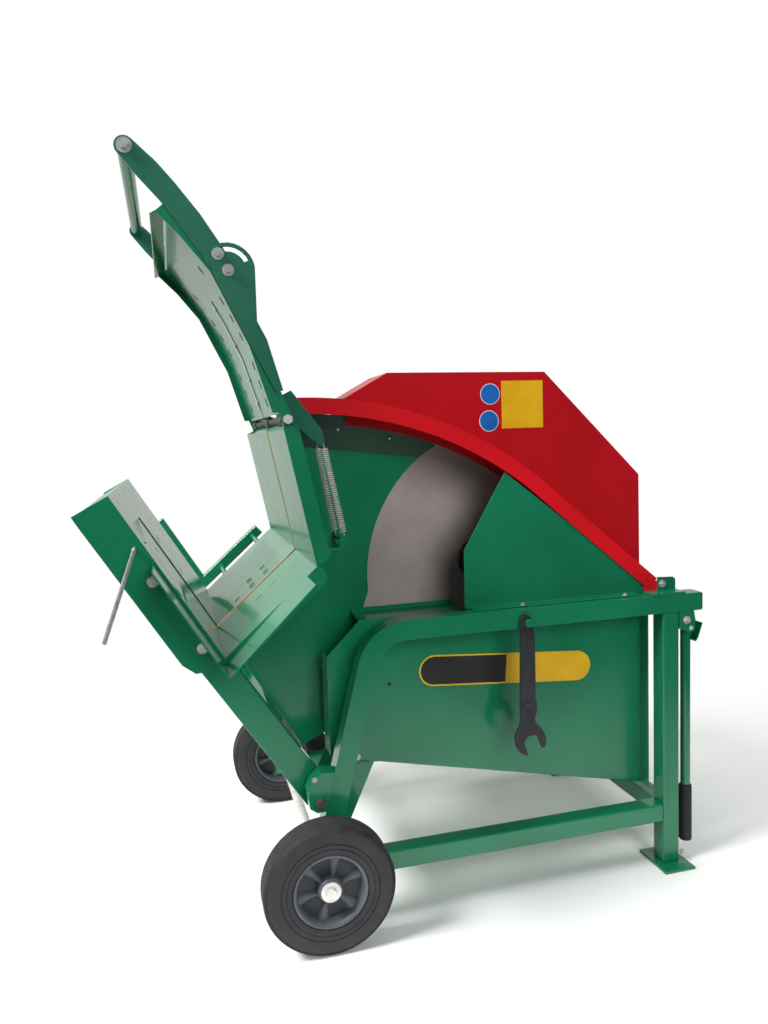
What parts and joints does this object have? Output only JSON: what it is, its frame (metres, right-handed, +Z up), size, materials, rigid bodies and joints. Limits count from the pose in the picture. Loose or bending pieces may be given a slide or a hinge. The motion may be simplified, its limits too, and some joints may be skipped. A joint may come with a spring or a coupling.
{
  "type": "firewood circular saw with rocker",
  "caption": "Wheeled log saw: a pivoted sheet-metal trough carries the log to a hooded circular blade, with a sprung hold-down over the trough",
  "frame": {"origin": "on the floor, under the middle of the bounding box", "axes": "+X along the machine from the trough to the push handles, +Y from the front side to the back side, +Z up"},
  "size_m": [1.3002, 1.0782, 1.514],
  "materials": {
    "green_paint": "glossy",
    "red_paint": "glossy",
    "blade_steel": "satin",
    "zinc": "satin",
    "tyre": "matte",
    "rim": "matte",
    "dark": "satin"
  },
  "bodies": {
    "frame": {"frame_tube_near": "green_paint", "frame_tube_far": "green_paint", "leg_near": "green_paint", "leg_far": "green_paint", "lower_rail_near": "green_paint", "lower_rail_far": "green_paint", "foot_near": "green_paint", "foot_far": "green_paint", "lug_near": "green_paint", "lug_far": "green_paint", "housing_near": "green_paint", "housing_far": "green_paint", "handle_bracket_near": "green_paint", "handle_bracket_far": "green_paint", "cross_rail": "green_paint", "axle": "zinc", "pivot_shaft": "blade_steel", "housing_floor": "green_paint", "chute": "green_paint", "side_cover": "green_paint", "guard_arch": "red_paint", "hood": "red_paint", "shaft_tube": "green_paint", "belt_guard": "dark", "motor": "dark", "wrench_peg": "green_paint"},
    "rocker": {"trough": "green_paint", "v_ledge": "green_paint", "arm_near": "green_paint", "arm_far": "green_paint", "cross_tube": "green_paint", "wing_near": "green_paint", "wing_far": "green_paint", "support_guide_1": "green_paint", "support_guide_2": "green_paint", "spring_anchor": "green_paint", "hinge_pin_near": "zinc", "hinge_pin_far": "zinc"},
    "hold_down": {"hold_down": "green_paint", "adjust_plate_near": "green_paint", "adjust_plate_far": "green_paint", "hold_arm_near": "green_paint", "hold_arm_far": "green_paint", "hold_handle": "green_paint", "deflector": "green_paint", "spring_lever": "green_paint", "spring_1": "zinc", "spring_2": "zinc"},
    "blade": {"blade": "blade_steel", "blade_hub": "blade_steel"},
    "wheel_near": {"tyre_near": "tyre", "rim_near": "rim"},
    "wheel_far": {"tyre_far": "tyre", "rim_far": "rim"},
    "log_support": {"log_support": "green_paint"},
    "length_stop": {"length_stop": "zinc"},
    "push_handle_near": {"push_handle_near": "dark"},
    "push_handle_far": {"push_handle_far": "dark"},
    "wrench": {"wrench": "dark"}
  },
  "joints": [
    {"name": "rocker_swing", "type": "hinge", "parent": "frame", "child": "rocker", "pos_m": [-0.22845, -0.08085, 0.272], "axis": [0, 1, 0], "range_deg": [0, 2.5]},
    {"name": "hold_down_hinge", "type": "hinge", "parent": "rocker", "child": "hold_down", "pos_m": [-0.26745, -0.16085, 1.031], "axis": [0, -1, 0], "range_deg": [0, 65], "stiffness_Nm_per_rad": 25, "springref_deg": -51.57, "deforming": ["spring_1", "spring_2"]},
    {"name": "blade_spin", "type": "hinge", "parent": "frame", "child": "blade", "pos_m": [0.19455, -0.17585, 0.705], "axis": [0, 1, 0], "continuous": true},
    {"name": "wheel_near_spin", "type": "hinge", "parent": "frame", "child": "wheel_near", "pos_m": [-0.22945, -0.43585, 0.13], "axis": [0, 1, 0], "continuous": true},
    {"name": "wheel_far_spin", "type": "hinge", "parent": "frame", "child": "wheel_far", "pos_m": [-0.22945, 0.25715, 0.13], "axis": [0, 1, 0], "continuous": true},
    {"name": "log_support_slide", "type": "slide", "parent": "rocker", "child": "log_support", "axis": [0, 1, 0], "range_m": [-0.23, 0]},
    {"name": "length_stop_slide", "type": "slide", "parent": "rocker", "child": "length_stop", "axis": [0, -1, 0], "range_m": [0, 0.14]},
    {"name": "push_handle_near_swing", "type": "hinge", "parent": "frame", "child": "push_handle_near", "pos_m": [0.62155, -0.36085, 0.545], "axis": [0, -1, 0], "range_deg": [0, 90]},
    {"name": "push_handle_far_swing", "type": "hinge", "parent": "frame", "child": "push_handle_far", "pos_m": [0.62155, 0.18215, 0.545], "axis": [0, -1, 0], "range_deg": [0, 90]},
    {"name": "wrench_swing", "type": "hinge", "parent": "frame", "child": "wrench", "pos_m": [0.22455, -0.38835, 0.596], "axis": [0, 1, 0], "range_deg": [-20, 20]}
  ]
}
